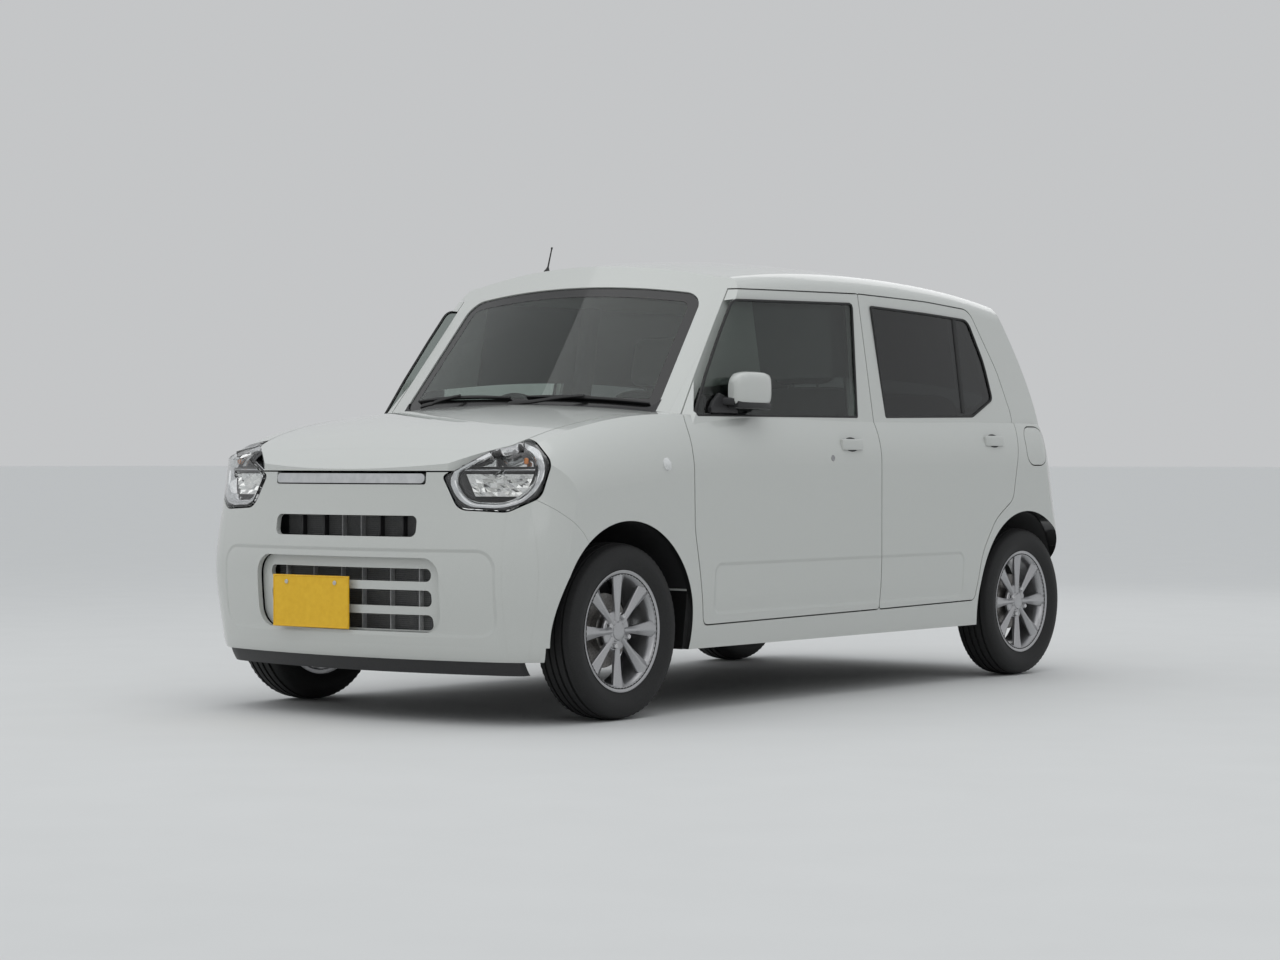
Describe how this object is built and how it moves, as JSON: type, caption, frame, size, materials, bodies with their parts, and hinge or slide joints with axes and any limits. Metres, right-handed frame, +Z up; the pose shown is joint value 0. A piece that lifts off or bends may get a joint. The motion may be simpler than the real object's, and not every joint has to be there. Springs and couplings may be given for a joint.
{
  "type": "kei-class five-door hatchback",
  "caption": "Small white kei-class hatchback with opening doors, hood, tailgate and fuel flap, steered front wheels and a furnished cabin.",
  "frame": {"origin": "on the road, at the middle of the car's length and width", "axes": "-Y forward to the nose, +X to the car's left, +Z up"},
  "size_m": [1.475, 3.3912, 1.525],
  "materials": {
    "paint": "gloss",
    "underbody": "satin",
    "glass": "gloss",
    "lamp": "gloss",
    "red_lamp": "gloss",
    "trim": "matte",
    "bright": "gloss",
    "plate": "satin",
    "rubber": "matte",
    "alloy": "satin",
    "iron": "matte",
    "steel": "satin",
    "cloth": "matte"
  },
  "bodies": {
    "body": {"body_side_left": "paint", "body_side_right": "paint", "roof_panel": "paint", "floor_pan": "underbody", "cowl": "trim", "front_frame": "underbody", "front_fender_left": "paint", "front_fender_right": "paint", "wheel_liners": "trim", "front_bumper": "paint", "grille_frame": "paint", "grille": "trim", "bright_bar": "bright", "air_dam": "trim", "headlamps": "lamp", "front_plate": "plate", "rear_bumper": "paint", "tail_lamps": "red_lamp", "windshield": "glass", "front_suspension": "underbody", "engine_block": "iron", "radiator": "alloy", "rear_axle": "underbody", "fuel_tank": "trim", "exhaust": "steel", "dashboard": "trim", "front_seats": "cloth", "rear_seat": "cloth"},
    "door_front_left": {"front_door_left": "paint", "front_door_glass_left": "glass"},
    "door_rear_left": {"rear_door_left": "paint", "rear_door_glass_left": "glass"},
    "door_front_right": {"front_door_right": "paint", "front_door_glass_right": "glass"},
    "door_rear_right": {"rear_door_right": "paint", "rear_door_glass_right": "glass"},
    "tailgate": {"tailgate": "paint", "tailgate_glass": "glass"},
    "hood": {"hood": "paint"},
    "fuel_flap": {"fuel_flap": "paint"},
    "knuckle_left": {"knuckle_left": "iron"},
    "knuckle_right": {"knuckle_right": "iron"},
    "wheel_front_left": {"tyre_front_left": "rubber", "rim_front_left": "alloy"},
    "wheel_front_right": {"tyre_front_right": "rubber", "rim_front_right": "alloy"},
    "wheel_rear_left": {"tyre_rear_left": "rubber", "rim_rear_left": "alloy"},
    "wheel_rear_right": {"tyre_rear_right": "rubber", "rim_rear_right": "alloy"},
    "steering_wheel": {"steering_wheel": "trim"}
  },
  "joints": [
    {"name": "front_door_left_swing", "type": "hinge", "parent": "body", "child": "door_front_left", "pos_m": [0.733, -0.8315, 0.6], "axis": [0, 0, -1], "range_deg": [0, 65]},
    {"name": "rear_door_left_swing", "type": "hinge", "parent": "body", "child": "door_rear_left", "pos_m": [0.7295, 0.2725, 0.6], "axis": [0, 0, -1], "range_deg": [0, 68]},
    {"name": "front_door_right_swing", "type": "hinge", "parent": "body", "child": "door_front_right", "pos_m": [-0.733, -0.8315, 0.6], "axis": [0, 0, 1], "range_deg": [0, 65]},
    {"name": "rear_door_right_swing", "type": "hinge", "parent": "body", "child": "door_rear_right", "pos_m": [-0.7295, 0.2725, 0.6], "axis": [0, 0, 1], "range_deg": [0, 68]},
    {"name": "tailgate_lift", "type": "hinge", "parent": "body", "child": "tailgate", "pos_m": [0, 1.3285, 1.456], "axis": [1, 0, 0], "range_deg": [0, 75]},
    {"name": "hood_lift", "type": "hinge", "parent": "body", "child": "hood", "pos_m": [0, -0.8275, 0.975], "axis": [-1, 0, 0], "range_deg": [0, 50]},
    {"name": "fuel_flap_swing", "type": "hinge", "parent": "body", "child": "fuel_flap", "pos_m": [0.733, 1.2955, 0.868], "axis": [0, 0, -1], "range_deg": [0, 90]},
    {"name": "steer_left", "type": "hinge", "parent": "body", "child": "knuckle_left", "pos_m": [0.59, -1.1575, 0.2785], "axis": [0, 0, 1], "range_deg": [-36, 36]},
    {"name": "steer_right", "type": "hinge", "parent": "body", "child": "knuckle_right", "pos_m": [-0.59, -1.1575, 0.2785], "axis": [0, 0, 1], "range_deg": [-36, 36]},
    {"name": "spin_front_left", "type": "hinge", "parent": "knuckle_left", "child": "wheel_front_left", "pos_m": [0.6475, -1.1575, 0.2785], "axis": [1, 0, 0], "continuous": true},
    {"name": "spin_front_right", "type": "hinge", "parent": "knuckle_right", "child": "wheel_front_right", "pos_m": [-0.6475, -1.1575, 0.2785], "axis": [1, 0, 0], "continuous": true},
    {"name": "spin_rear_left", "type": "hinge", "parent": "body", "child": "wheel_rear_left", "pos_m": [0.65, 1.3025, 0.2785], "axis": [1, 0, 0], "continuous": true},
    {"name": "spin_rear_right", "type": "hinge", "parent": "body", "child": "wheel_rear_right", "pos_m": [-0.65, 1.3025, 0.2785], "axis": [1, 0, 0], "continuous": true},
    {"name": "steering_wheel_turn", "type": "hinge", "parent": "body", "child": "steering_wheel", "pos_m": [-0.33, -0.4125, 0.868], "axis": [0, 0.9386, 0.345], "range_deg": [-504, 504]}
  ],
  "couplings": [
    {"joint": "steer_right", "follows": "steer_left", "ratio": 1},
    {"joint": "steering_wheel_turn", "follows": "steer_left", "ratio": 14}
  ]
}
